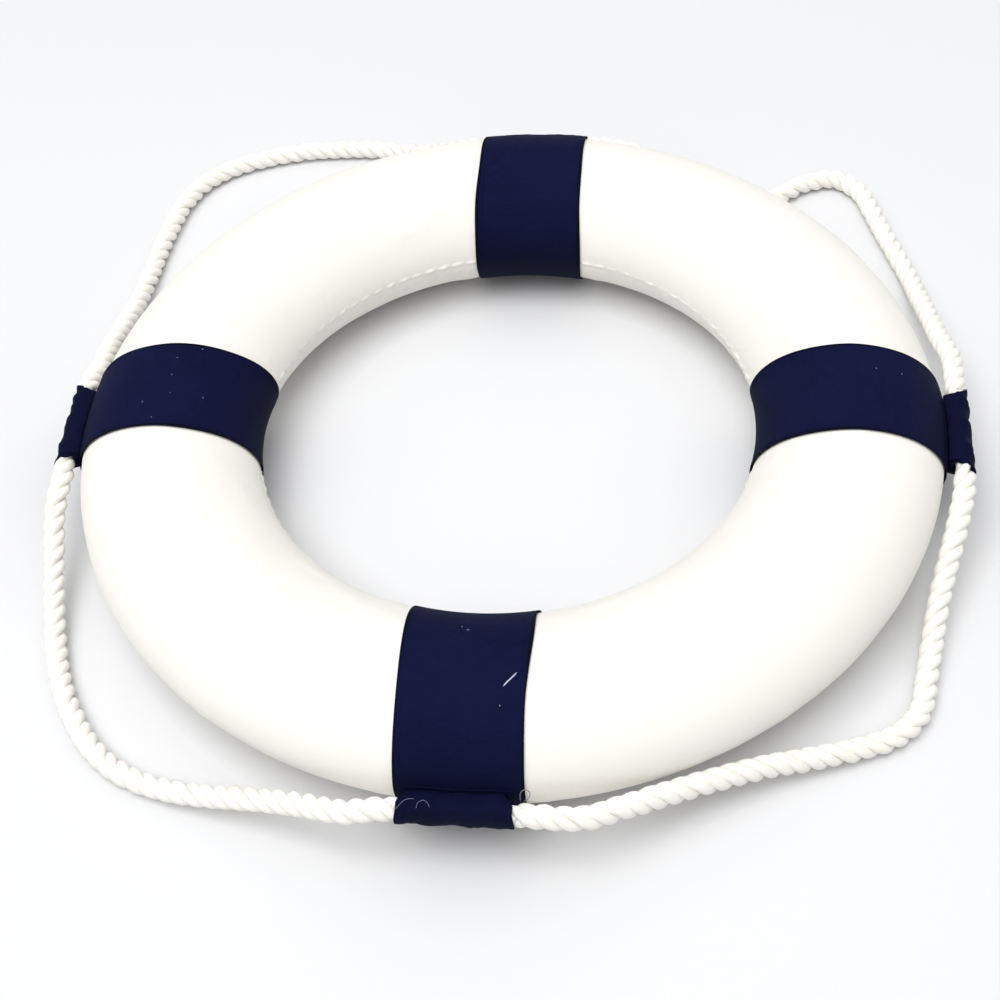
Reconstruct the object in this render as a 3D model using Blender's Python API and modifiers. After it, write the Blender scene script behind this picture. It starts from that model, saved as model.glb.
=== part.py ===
"""Ring lifebuoy: a foam ring in a sewn white cloth cover, with four navy cloth bands and a grab rope.

The ring lies flat on z = 0 with its centre on the Z axis. The bands are on -Y (front), +X (right),
+Y (back) and -X (left). Each band carries a cloth sleeve on its outer side, and the rope runs through
the four sleeves. Between two sleeves the rope hangs free as a loop, which swings about the line
through the two sleeve mouths.
"""

import math

import bpy
from mathutils import Matrix, Vector

# Driving dimensions, in metres
RING_OUTER_RADIUS = 0.260
RING_INNER_RADIUS = 0.150
COVER_TOP = 0.086
EQUATOR_HEIGHT = 0.043
SECTION_POWER = 1.8
UNDERSIDE_SINK = 0.003

GAP = 0.0004
COVER_THICKNESS = 0.0010
BAND_THICKNESS = 0.0012
BAND_WIDTH = 0.067
SEAM_SLIT = 0.0014
THREAD_RADIUS = 0.0004

ROPE_RADIUS = 0.0065
SLEEVE_LENGTH = 0.064
SLEEVE_RADIUS = 0.0086
SLEEVE_BORE_RADIUS = 0.0075
SLEEVE_SQUASH = 0.74
SLEEVE_STRETCH = 1.07
TAPE_RADIUS = 0.0072
TAPE_BORE_RADIUS = 0.0068
TAPE_LENGTH = 0.030
ROPE_POINT_SPACING = 0.024

# How finely the round shapes are divided
RING_STEPS = 64
SECTION_POINTS = 24
TUBE_SIDES = 24
THREAD_SIDES = 6
ROPE_BEVEL_RESOLUTION = 2

# Derived dimensions
TUBE_CENTRE_RADIUS = (RING_OUTER_RADIUS + RING_INNER_RADIUS) / 2
TUBE_HALF_WIDTH = (RING_OUTER_RADIUS - RING_INNER_RADIUS) / 2
COVER_BOTTOM = GAP + BAND_THICKNESS
UPPER_HALF_HEIGHT = COVER_TOP - EQUATOR_HEIGHT
LOWER_HALF_HEIGHT = EQUATOR_HEIGHT - COVER_BOTTOM + UNDERSIDE_SINK
SLEEVE_CENTRE_RADIUS = RING_OUTER_RADIUS + GAP + BAND_THICKNESS + GAP + SLEEVE_RADIUS * SLEEVE_SQUASH
HINGE_OFFSET = SLEEVE_LENGTH / 2 + GAP + ROPE_RADIUS

# Sides of the ring, as the turn about Z that carries the front (-Y) to each of them. The left band is
# sewn on a little nearer to the front.
SIDES = {"front": 0, "right": 90, "back": 180, "left": 272.4}

# The free rope's route between its two sleeve mouths, without the mouths themselves
ROPE_ROUTES = {
    "front_left": [
        (-0.0585, -0.27, 0.041), (-0.085, -0.263, 0.034), (-0.114, -0.2555, 0.024),
        (-0.144, -0.249, 0.014), (-0.172, -0.242, 0.008), (-0.196, -0.2325, 0.007),
        (-0.2165, -0.2165, 0.007), (-0.2315, -0.197, 0.007), (-0.244, -0.175, 0.007),
        (-0.253, -0.151, 0.008), (-0.2595, -0.125, 0.014), (-0.264, -0.098, 0.024),
        (-0.2675, -0.0705, 0.036),
    ],
    "front_right": [
        (0.0635, -0.267, 0.041), (0.087, -0.255, 0.036), (0.111, -0.2415, 0.03),
        (0.135, -0.2285, 0.024), (0.1585, -0.217, 0.018), (0.1835, -0.207, 0.012),
        (0.2065, -0.1975, 0.008), (0.2255, -0.1885, 0.007), (0.239, -0.173, 0.007),
        (0.244, -0.151, 0.008), (0.2485, -0.125, 0.013), (0.254, -0.098, 0.023),
        (0.263, -0.065, 0.036),
    ],
    "back_right": [
        (0.2685, 0.0655, 0.04), (0.264, 0.091, 0.032), (0.2605, 0.119, 0.023),
        (0.257, 0.146, 0.014), (0.253, 0.172, 0.008), (0.2455, 0.197, 0.007),
        (0.2375, 0.221, 0.007), (0.23, 0.245, 0.007), (0.223, 0.2635, 0.007),
        (0.2065, 0.2775, 0.007), (0.1845, 0.2725, 0.007), (0.165, 0.258, 0.007),
        (0.144, 0.249, 0.009), (0.119, 0.2495, 0.015), (0.093, 0.258, 0.026),
        (0.0645, 0.268, 0.038),
    ],
    "back_left": [
        (-0.27, 0.0435, 0.037), (-0.272, 0.0775, 0.027), (-0.272, 0.1115, 0.017),
        (-0.2715, 0.1435, 0.01), (-0.271, 0.1695, 0.007), (-0.27, 0.1955, 0.007),
        (-0.2675, 0.2215, 0.007), (-0.263, 0.247, 0.007), (-0.2525, 0.27, 0.007),
        (-0.2345, 0.287, 0.007), (-0.2105, 0.2985, 0.007), (-0.1845, 0.306, 0.007),
        (-0.158, 0.309, 0.007), (-0.132, 0.3095, 0.007), (-0.1085, 0.3045, 0.009),
        (-0.0895, 0.293, 0.017), (-0.0715, 0.279, 0.03),
    ],
}

# Linear colour, roughness and metallic value of each material
MATERIALS = {
    "foam": ((0.80, 0.80, 0.78), 0.85, 0.0),
    "white_cloth": ((0.86, 0.85, 0.81), 0.80, 0.0),
    "navy_cloth": ((0.008, 0.012, 0.060), 0.85, 0.0),
    "cotton_rope": ((0.80, 0.76, 0.70), 0.90, 0.0),
    "thread": ((0.82, 0.80, 0.74), 0.70, 0.0),
    "tape": ((0.70, 0.68, 0.62), 0.60, 0.0),
}


def clear_scene():
    """Empty the scene and forget the data that is left over."""
    for old in list(bpy.data.objects):
        bpy.data.objects.remove(old)
    for collection in list(bpy.data.collections):
        bpy.data.collections.remove(collection)


def make_collection(name):
    """A new collection in the scene."""
    collection = bpy.data.collections.new(name)
    bpy.context.scene.collection.children.link(collection)
    return collection


def make_material(name):
    """The Principled material of that name, made once."""
    if name in bpy.data.materials:
        return bpy.data.materials[name]
    colour, roughness, metallic = MATERIALS[name]
    material = bpy.data.materials.new(name)
    material.use_nodes = True
    shader = material.node_tree.nodes["Principled BSDF"]
    shader.inputs["Base Color"].default_value = (*colour, 1.0)
    shader.inputs["Roughness"].default_value = roughness
    shader.inputs["Metallic"].default_value = metallic
    material.diffuse_color = (*colour, 1.0)
    return material


def ring_section():
    """The cover's outer outline as (radius, height), from the inner equator over the top and back.

    It is a superellipse. Its lower half is a little too deep and is cut off level, which gives the
    ring the flat land that it lies on.
    """
    outline = []
    for step in range(SECTION_POINTS + 1):
        angle = math.pi - 2 * math.pi * step / SECTION_POINTS
        across = abs(math.cos(angle)) ** (2 / SECTION_POWER) * math.copysign(1, math.cos(angle))
        along = abs(math.sin(angle)) ** (2 / SECTION_POWER)
        radius = TUBE_CENTRE_RADIUS + TUBE_HALF_WIDTH * across
        if angle >= 0:
            height = EQUATOR_HEIGHT + UPPER_HALF_HEIGHT * along
        else:
            height = max(EQUATOR_HEIGHT - LOWER_HALF_HEIGHT * along, COVER_BOTTOM)
        outline.append((radius, height))
    return outline


def offset_outline(outline, distance):
    """The closed outline moved outward by distance, with every edge kept parallel to itself."""
    points = outline[:-1]
    count = len(points)
    moved = []
    for i in range(count):
        before = Vector(points[i]) - Vector(points[i - 1])
        after = Vector(points[(i + 1) % count]) - Vector(points[i])
        normals = [Vector((-edge.y, edge.x)).normalized() for edge in (before, after)]
        mitre = (normals[0] + normals[1]).normalized()
        place = Vector(points[i]) + mitre * distance / mitre.dot(normals[0])
        moved.append((place.x, place.y))
    return moved + [moved[0]]


def new_mesh_object(name, collection, vertices, edges=(), faces=()):
    """An object with a mesh made of those vertices, edges and faces."""
    mesh = bpy.data.meshes.new(name)
    mesh.from_pydata([tuple(v) for v in vertices], list(edges), list(faces))
    mesh.update()
    made = bpy.data.objects.new(name, mesh)
    collection.objects.link(made)
    return made


def shade_smooth(target, sharp_angle=40):
    """Smooth shading with sharp edges kept."""
    target.data.shade_smooth()
    target.data.set_sharp_from_angle(angle=math.radians(sharp_angle))


def evaluated_copy(source):
    """The mesh of an object with its modifiers or its curve bevel applied."""
    bpy.context.view_layer.update()
    evaluated = source.evaluated_get(bpy.context.evaluated_depsgraph_get())
    return bpy.data.meshes.new_from_object(evaluated)


def turned_ring(name, collection, profile, steps=RING_STEPS):
    """A closed (radius, height) profile turned once round the Z axis with a Screw modifier."""
    count = len(profile)
    edges = [(i, (i + 1) % count) for i in range(count)]
    ring = new_mesh_object(name, collection, [(r, 0, z) for r, z in profile], edges)
    screw = ring.modifiers.new("turn", "SCREW")
    screw.axis = "Z"
    screw.steps = steps
    screw.render_steps = steps
    screw.use_merge_vertices = True
    screw.merge_threshold = 0.00005
    return ring


def applied(ring, material, sharp_angle=40):
    """The same object with its modifiers applied, smooth shading and its material."""
    mesh = evaluated_copy(ring)
    mesh.name = ring.name
    ring.modifiers.clear()
    ring.data = mesh
    mesh.materials.clear()
    mesh.materials.append(make_material(material))
    shade_smooth(ring, sharp_angle)
    return ring


def make_foam_core(collection):
    """Two half rings of foam board, glued together at the ring's middle plane."""
    outline = offset_outline(ring_section(), -(COVER_THICKNESS + GAP))
    middle = SECTION_POINTS // 2
    halves = {
        "foam_core_upper": (outline[: middle + 1], EQUATOR_HEIGHT + GAP / 2, max),
        "foam_core_lower": (outline[middle:], EQUATOR_HEIGHT - GAP / 2, min),
    }
    for name, (half, plane, keep) in halves.items():
        profile = [(r, keep(z, plane)) for r, z in half]
        applied(turned_ring(name, collection, profile), "foam", 60)


def make_cover(collection):
    """The white cloth tube round the foam, open along its closing seam at the inner equator."""
    outer = ring_section()
    inner = offset_outline(outer, -COVER_THICKNESS)
    above, below = EQUATOR_HEIGHT + SEAM_SLIT / 2, EQUATOR_HEIGHT - SEAM_SLIT / 2
    outside = [(outer[0][0], above)] + outer[1:-1] + [(outer[0][0], below)]
    inside = [(inner[0][0], above)] + inner[1:-1] + [(inner[0][0], below)]
    applied(turned_ring("cover", collection, outside + inside[::-1]), "white_cloth")


def make_closing_thread(collection):
    """The thread that closes the cover, lying in the seam's slit."""
    centre = RING_INNER_RADIUS + THREAD_RADIUS * 0.75
    profile = []
    for side in range(THREAD_SIDES):
        angle = -2 * math.pi * side / THREAD_SIDES
        radius = centre + THREAD_RADIUS * math.cos(angle)
        profile.append((radius, EQUATOR_HEIGHT + THREAD_RADIUS * math.sin(angle)))
    applied(turned_ring("closing_thread", collection, profile), "thread", 80)


def make_bands(collection, cutters):
    """Four cloth bands of constant width, each cut from a sleeve of cloth turned round the ring."""
    inner = offset_outline(ring_section(), GAP)[:-1]
    outer = offset_outline(ring_section(), GAP + BAND_THICKNESS)[:-1]
    skins = []
    for profile in (outer, inner[::-1]):
        skins.append(evaluated_copy(turned_ring("band_skin", cutters, profile)))
    vertices = [v.co for skin in skins for v in skin.vertices]
    first_count = len(skins[0].vertices)
    faces = [tuple(p.vertices) for p in skins[0].polygons]
    faces += [tuple(v + first_count for v in p.vertices) for p in skins[1].polygons]

    for side, turn in SIDES.items():
        bpy.ops.mesh.primitive_cube_add(size=1, location=(0, -TUBE_CENTRE_RADIUS, EQUATOR_HEIGHT))
        strip = bpy.context.object
        strip.name = f"band_strip_{side}"
        strip.data.transform(Matrix.Diagonal((BAND_WIDTH, 3 * TUBE_HALF_WIDTH, 2 * COVER_TOP, 1)))
        for owner in list(strip.users_collection):
            owner.objects.unlink(strip)
        cutters.objects.link(strip)
        strip.hide_render = True
        strip.display_type = "WIRE"

        band = new_mesh_object(f"band_{side}", collection, vertices, faces=faces)
        cut = band.modifiers.new("strip", "BOOLEAN")
        cut.operation = "INTERSECT"
        cut.object = strip
        applied(band, "navy_cloth")
        band.rotation_euler.z = math.radians(turn)

    for guide in [o for o in cutters.objects if o.name.startswith("band_skin")]:
        bpy.data.objects.remove(guide)


def turned_tube(name, collection, radius, bore, length, material, sides=TUBE_SIDES):
    """A straight tube along X, centred on its own origin."""
    half = length / 2
    profile = [(radius, half), (radius, -half), (bore, -half), (bore, half)]
    tube = applied(turned_ring(name, collection, profile, sides), material)
    tube.data.transform(Matrix.Rotation(math.radians(90), 4, "Y"))
    return tube


def place_on_side(piece, turn, along=0.0):
    """Moves a piece that lies along X to the outer side of the ring, at that turn about Z.

    The sleeve and what is in it are pressed flat against the ring.
    """
    rotation = Matrix.Rotation(math.radians(turn), 4, "Z")
    spot = Vector((along, -SLEEVE_CENTRE_RADIUS, EQUATOR_HEIGHT))
    squashed = Matrix.Diagonal((1, SLEEVE_SQUASH, SLEEVE_STRETCH, 1))
    piece.matrix_world = rotation @ Matrix.Translation(spot) @ squashed


def make_sleeves(collection):
    """The cloth sleeves on the bands' outer sides, which hold the rope."""
    for side, turn in SIDES.items():
        sleeve = turned_tube(
            f"sleeve_{side}", collection, SLEEVE_RADIUS, SLEEVE_BORE_RADIUS, SLEEVE_LENGTH, "navy_cloth"
        )
        place_on_side(sleeve, turn)


def rope_object(name, collection, points, radii):
    """A rope of round section along those points, closed at both ends."""
    curve = bpy.data.curves.new(name, "CURVE")
    curve.dimensions = "3D"
    curve.bevel_depth = ROPE_RADIUS
    curve.bevel_resolution = ROPE_BEVEL_RESOLUTION
    curve.use_fill_caps = True
    spline = curve.splines.new("POLY")
    spline.points.add(len(points) - 1)
    for control, place, radius in zip(spline.points, points, radii):
        control.co = (*place, 1.0)
        control.radius = radius
    curve.materials.append(make_material("cotton_rope"))
    rope = bpy.data.objects.new(name, curve)
    collection.objects.link(rope)
    return rope


def make_rope_in_sleeves(collection):
    """The stretches of rope inside the sleeves. The rope's two ends meet in the front sleeve."""
    half = SLEEVE_LENGTH / 2
    stretches = {
        "rope_end_left": ("front", -half, -GAP / 2),
        "rope_end_right": ("front", GAP / 2, half),
        "rope_in_right_sleeve": ("right", -half, half),
        "rope_in_back_sleeve": ("back", -half, half),
        "rope_in_left_sleeve": ("left", -half, half),
    }
    for name, (side, start, end) in stretches.items():
        middle = (start + end) / 2
        ends = [(start - middle, 0, 0), (end - middle, 0, 0)]
        rope = rope_object(name, collection, ends, [1, 1])
        place_on_side(rope, SIDES[side], middle)
    tape = turned_tube("rope_end_tape", collection, TAPE_RADIUS, TAPE_BORE_RADIUS, TAPE_LENGTH, "tape")
    place_on_side(tape, SIDES["front"])


def smooth_curve(route, samples=16):
    """Points on a centripetal Catmull-Rom curve through the route's points."""
    ends = [route[0] * 2 - route[1], route[-1] * 2 - route[-2]]
    knots = [ends[0], *route, ends[1]]
    curve = []
    for a, b, c, d in zip(knots, knots[1:], knots[2:], knots[3:]):
        t1 = (b - a).length ** 0.5
        t2 = t1 + (c - b).length ** 0.5
        t3 = t2 + (d - c).length ** 0.5
        for step in range(samples):
            t = t1 + (t2 - t1) * step / samples
            ab = a.lerp(b, t / t1)
            bc = b.lerp(c, (t - t1) / (t2 - t1))
            cd = c.lerp(d, (t - t2) / (t3 - t2))
            abc = ab.lerp(bc, t / t2)
            bcd = bc.lerp(cd, (t - t1) / (t3 - t1))
            curve.append(abc.lerp(bcd, (t - t1) / (t2 - t1)))
    return [*curve, route[-1]]


def evenly_spaced(curve, spacing):
    """Points along the curve at about that spacing, both ends included."""
    lengths = [0.0]
    for a, b in zip(curve, curve[1:]):
        lengths.append(lengths[-1] + (b - a).length)
    count = max(2, round(lengths[-1] / spacing))
    points = []
    segment = 0
    for i in range(count + 1):
        target = lengths[-1] * i / count
        while segment < len(curve) - 2 and lengths[segment + 1] < target:
            segment += 1
        share = (target - lengths[segment]) / (lengths[segment + 1] - lengths[segment])
        points.append(curve[segment].lerp(curve[segment + 1], share))
    return points


def rounded_end(centre, direction):
    """Points and radius factors of the half ball that ends a rope, from its tip inward."""
    points, radii = [], []
    for degrees in (84, 60, 30):
        angle = math.radians(degrees)
        points.append(centre + direction * ROPE_RADIUS * math.sin(angle))
        radii.append(math.cos(angle))
    return points, radii


def sleeve_mouth(side, end):
    """The hinge centre outside a sleeve's mouth, and the way into the sleeve. end is -1 or 1."""
    turn = Matrix.Rotation(math.radians(SIDES[side]), 3, "Z")
    centre = turn @ Vector((end * HINGE_OFFSET, -SLEEVE_CENTRE_RADIUS, EQUATOR_HEIGHT))
    return centre, turn @ Vector((-end, 0, 0))


def make_free_rope(collection):
    """The four free loops of the rope. A loop's origin is in the middle of its hinge line."""
    mouths = {
        "front_left": (("front", -1), ("left", 1)),
        "front_right": (("front", 1), ("right", -1)),
        "back_right": (("right", 1), ("back", -1)),
        "back_left": (("left", -1), ("back", 1)),
    }
    for name, (first_mouth, last_mouth) in mouths.items():
        first, into_first = sleeve_mouth(*first_mouth)
        last, into_last = sleeve_mouth(*last_mouth)
        route = [first, *(Vector(p) for p in ROPE_ROUTES[name]), last]
        middle = evenly_spaced(smooth_curve(route), ROPE_POINT_SPACING)
        first_points, first_radii = rounded_end(first, into_first)
        last_points, last_radii = rounded_end(last, into_last)
        points = [*first_points, *middle, *reversed(last_points)]
        radii = [*first_radii, *[1.0] * len(middle), *reversed(last_radii)]
        origin = (first + last) / 2
        rope = rope_object(f"rope_{name}", collection, [p - origin for p in points], radii)
        rope.location = origin


def main():
    clear_scene()
    parts = make_collection("ring_lifebuoy")
    cutters = make_collection("cutters")
    make_foam_core(parts)
    make_cover(parts)
    make_closing_thread(parts)
    make_bands(parts, cutters)
    make_sleeves(parts)
    make_rope_in_sleeves(parts)
    make_free_rope(parts)


main()
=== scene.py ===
"""Looks of the ring lifebuoy: cover, bands, sleeves, sewing, twisted rope, floor and light."""

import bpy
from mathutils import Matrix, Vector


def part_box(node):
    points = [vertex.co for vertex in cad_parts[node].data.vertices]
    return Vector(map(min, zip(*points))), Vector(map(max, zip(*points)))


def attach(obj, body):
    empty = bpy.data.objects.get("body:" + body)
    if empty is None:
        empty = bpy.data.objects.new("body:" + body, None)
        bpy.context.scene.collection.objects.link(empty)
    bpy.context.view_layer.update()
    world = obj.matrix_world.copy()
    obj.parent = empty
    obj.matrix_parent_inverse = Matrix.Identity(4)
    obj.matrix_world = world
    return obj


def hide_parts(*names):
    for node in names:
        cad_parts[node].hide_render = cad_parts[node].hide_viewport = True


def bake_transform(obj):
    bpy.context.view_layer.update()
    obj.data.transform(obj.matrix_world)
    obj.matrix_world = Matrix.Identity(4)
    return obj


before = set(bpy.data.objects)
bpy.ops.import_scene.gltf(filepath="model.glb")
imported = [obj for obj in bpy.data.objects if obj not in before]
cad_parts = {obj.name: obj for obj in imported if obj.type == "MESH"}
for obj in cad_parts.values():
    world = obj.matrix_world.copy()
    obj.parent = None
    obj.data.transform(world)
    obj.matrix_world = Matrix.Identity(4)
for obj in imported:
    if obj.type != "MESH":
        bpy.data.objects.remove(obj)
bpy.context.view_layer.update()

import math

import bpy
import numpy as np
from mathutils import Matrix, Vector

# The cover, in metres, on the CAD frame's sizes
COVER_LOW, COVER_HIGH = (np.array(corner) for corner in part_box("cover"))
RING_OUTER = COVER_HIGH[0]
RING_INNER = 0.150
RING_MIDDLE = (RING_OUTER + RING_INNER) / 2
HALF_WIDTH = (RING_OUTER - RING_INNER) / 2
EQUATOR = 0.043
UPPER_HALF = COVER_HIGH[2] - EQUATOR
COVER_BOTTOM = COVER_LOW[2]
UNDERSIDE_SINK = 0.003
LOWER_HALF = EQUATOR - COVER_BOTTOM + UNDERSIDE_SINK
SECTION_POWER = 1.8
COVER_GIVE = 0.0009
COVER_GRID = (1000, 98)
COVER_CROWDING = 0.80
CLOTH_GRID = (320, 40)
CLOTH_STEPS = 16
CLOTH_LIMITS = (-0.0015, 0.0022)
# The closing seam: height and half width of its puckers and of the two grooves, and their distance
SEAM_BEAD = (0.00090, 0.0021)
SEAM_GROOVE = (0.00090, 0.0011)
SEAM_FOLD = 0.0030

# Bands and sleeves
BAND_WIDTH = 0.067
BAND_LIFT = 0.0004
BAND_THICKNESS = 0.0008
BAND_ROWS = 300
HEM_WIDTH = 0.0045
HEM_STITCH_PITCH = 0.0028
SLEEVE_LENGTH = 0.064
SLEEVE_HALF_DEPTH = 0.0064
SLEEVE_HALF_HEIGHT = 0.0092
SLEEVE_CENTRE = RING_OUTER + 0.00836
SLEEVE_GRID = (132, 72)
SLEEVE_GAP = 0.0003
SLEEVE_SEAM_PLACE = 0.76
SLEEVE_SEAM_RADIUS = 0.00045
MOUTH_REACH = 0.007
MOUTH_NARROWING = 0.0018
HINGE_OFFSET = 0.0389
CREASING = {"front": 0.8, "right": 1.5, "back": 0.35, "left": 1.1}
RIGHT_END_CUT = {"front": 0.0026, "right": 0.0, "back": 0.0, "left": 0.0}
MOUTH_CUT = {"front": 0.0007, "right": 0.0022, "back": 0.0007, "left": 0.0016}
BAND_DRIFT = {"front": 0.0, "right": -0.0035, "back": 0.0, "left": 0.0045}
TOP_SHARE = 0.25

# Rope and sewing
ROPE_LAY = 0.0285
STRANDS = 3
STRAND_RADIUS = 0.00300
STRAND_OFFSET = 0.00350
YARNS = 8
YARN_LAY = 0.0165
YARN_RELIEF = 0.00028
ROPE_SQUASH = 0.30
ROPE_STEP = 0.0010
LOOP_SIDES = 32
HELD_SIDES = 20
FIBRES_PER_STEP = 2
FIBRE_RADIUS = 0.00004
FIBRE_REACH = 0.0090
FIBRE_ROOT = (0.0052, 0.0062)
FIBRE_LENGTH = (0.0008, 0.0024)
STITCH_PITCH = 0.0095
STITCH_RADIUS = 0.00028
HEM_STITCH_RADIUS = 0.00016

# Each band's angle round the ring from the front, in degrees
SIDES = {"front": 0, "right": 90, "back": 180, "left": 272.4}

# Looks and light
NAVY_GLOSS = 0.07
# Near-black navy for the painted shade low on the sides and at the bands' edges
PAINTED_SHADE_NAVY = (0.0008, 0.0010, 0.0050)
FLOOR_SIZE = 30
SURROUND_LOW = 0.07
SURROUND_HIGH = 0.98
SURROUND_TOP = 0.9
KEY_PLACE = (-0.80, -1.4, 4.9)
KEY_SIZE = 3.6
KEY_POWER = 175

# The same route points as the CAD rope, between the sleeve mouths
ROPE_ROUTES = {
    "front_left": [
        (-0.0585, -0.27, 0.041), (-0.085, -0.263, 0.034), (-0.114, -0.2555, 0.024),
        (-0.144, -0.249, 0.014), (-0.172, -0.242, 0.008), (-0.196, -0.2325, 0.007),
        (-0.2165, -0.2165, 0.007), (-0.2315, -0.197, 0.007), (-0.244, -0.175, 0.007),
        (-0.253, -0.151, 0.008), (-0.2595, -0.125, 0.014), (-0.264, -0.098, 0.024),
        (-0.2675, -0.0705, 0.036),
    ],
    "front_right": [
        (0.0635, -0.267, 0.041), (0.087, -0.255, 0.036), (0.111, -0.2415, 0.03),
        (0.135, -0.2285, 0.024), (0.1585, -0.217, 0.018), (0.1835, -0.207, 0.012),
        (0.2065, -0.1975, 0.008), (0.2255, -0.1885, 0.007), (0.239, -0.173, 0.007),
        (0.244, -0.151, 0.008), (0.2485, -0.125, 0.013), (0.254, -0.098, 0.023),
        (0.263, -0.065, 0.036),
    ],
    "back_right": [
        (0.2685, 0.0655, 0.04), (0.264, 0.091, 0.032), (0.2605, 0.119, 0.023),
        (0.257, 0.146, 0.014), (0.253, 0.172, 0.008), (0.2455, 0.197, 0.007),
        (0.2375, 0.221, 0.007), (0.23, 0.245, 0.007), (0.223, 0.2635, 0.007),
        (0.2065, 0.2775, 0.007), (0.1845, 0.2725, 0.007), (0.165, 0.258, 0.007),
        (0.144, 0.249, 0.009), (0.119, 0.2495, 0.015), (0.093, 0.258, 0.026),
        (0.0645, 0.268, 0.038),
    ],
    "back_left": [
        (-0.27, 0.0435, 0.037), (-0.272, 0.0775, 0.027), (-0.272, 0.1115, 0.017),
        (-0.2715, 0.1435, 0.01), (-0.271, 0.1695, 0.007), (-0.27, 0.1955, 0.007),
        (-0.2675, 0.2215, 0.007), (-0.263, 0.247, 0.007), (-0.2525, 0.27, 0.007),
        (-0.2345, 0.287, 0.007), (-0.2105, 0.2985, 0.007), (-0.1845, 0.306, 0.007),
        (-0.158, 0.309, 0.007), (-0.132, 0.3095, 0.007), (-0.1085, 0.3045, 0.009),
        (-0.0895, 0.293, 0.017), (-0.0715, 0.279, 0.03),
    ],
}


# -------------------- camera


def add_object(name, data):
    """A new object in the scene."""
    made = bpy.data.objects.new(name, data)
    bpy.context.scene.collection.objects.link(made)
    return made


def make_camera():
    """The viewing angle: from the front, a little right, looking down at about 49 degrees."""
    azimuth, elevation, roll = math.radians(10.37), math.radians(49.36), math.radians(-6.32)
    distance, target = 1.058, Vector((-0.0051, -0.0240, 0.0))
    back = Vector((
        math.sin(azimuth) * math.cos(elevation),
        -math.cos(azimuth) * math.cos(elevation),
        math.sin(elevation),
    ))
    camera = add_object("camera", bpy.data.cameras.new("camera"))
    camera.data.lens = 61.7
    camera.data.sensor_width = 36
    camera.data.clip_start = 0.05
    camera.data.clip_end = 50
    turn = back.to_track_quat("Z", "Y").to_matrix() @ Matrix.Rotation(roll, 3, "Z")
    camera.matrix_world = Matrix.Translation(target + back * distance) @ turn.to_4x4()
    bpy.context.scene.camera = camera


# -------------------- small tools


def smooth_step(low, high, x):
    """0 below low, 1 above high, smooth between."""
    t = np.clip((x - low) / (high - low), 0, 1)
    return t * t * (3 - 2 * t)


def wobble(seed, terms, *coordinates):
    """Smooth noise from about -1 to 1: a sum of sine waves over the coordinates."""
    random = np.random.default_rng(seed)
    total = 0
    for _ in range(terms):
        phase = random.uniform(0, 2 * math.pi)
        total = total + np.sin(sum(random.normal() * c for c in coordinates) + phase)
    return total / math.sqrt(terms) / 1.4


def unit(vectors):
    """Each row's vector at length 1."""
    return vectors / np.linalg.norm(vectors, axis=1)[:, None]


def rotate_z(points, degrees):
    """The points turned about the Z axis."""
    c, s = math.cos(math.radians(degrees)), math.sin(math.radians(degrees))
    x, y, z = points[..., 0], points[..., 1], points[..., 2]
    return np.stack([c * x - s * y, s * x + c * y, z], axis=-1)


def mesh_object(name, points, faces, material=None, uv=None, wraps=()):
    """A smooth mesh object from a list or grid of points and its faces.

    uv holds each point's cloth coordinates in metres. wraps gives the size at which a coordinate
    starts again on a closed surface, for surfaces of quads.
    """
    mesh = bpy.data.meshes.new(name)
    faces = faces.tolist() if hasattr(faces, "tolist") else faces
    mesh.from_pydata(points.reshape(-1, 3).tolist(), [], faces)
    mesh.update()
    if uv is not None:
        layer = mesh.uv_layers.new(name="cloth")
        corners = np.zeros(len(mesh.loops), np.int32)
        mesh.loops.foreach_get("vertex_index", corners)
        values = uv.reshape(-1, 2)[corners]
        for axis, size in wraps:
            quads = values[:, axis].reshape(-1, 4)
            torn = (quads.max(axis=1) - quads.min(axis=1) > size / 2)[:, None]
            values[:, axis] = np.where(torn & (quads < size / 2), quads + size, quads).ravel()
        layer.data.foreach_set("uv", np.ascontiguousarray(values, np.float32).ravel())
    if material is not None:
        mesh.materials.append(material)
    mesh.shade_smooth()
    return add_object(name, mesh)


def grid_faces(rows, columns, closed_rows=False, closed_columns=False, first=0):
    """Quads of a grid of rows by columns of points, numbered row by row from first."""
    i = np.arange(rows if closed_rows else rows - 1)
    j = np.arange(columns if closed_columns else columns - 1)
    i, j = (a.ravel() for a in np.meshgrid(i, j, indexing="ij"))
    i2, j2 = (i + 1) % rows, (j + 1) % columns
    quads = [i * columns + j, i * columns + j2, i2 * columns + j2, i2 * columns + j]
    return np.stack(quads, axis=1) + first


# -------------------- materials


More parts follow.
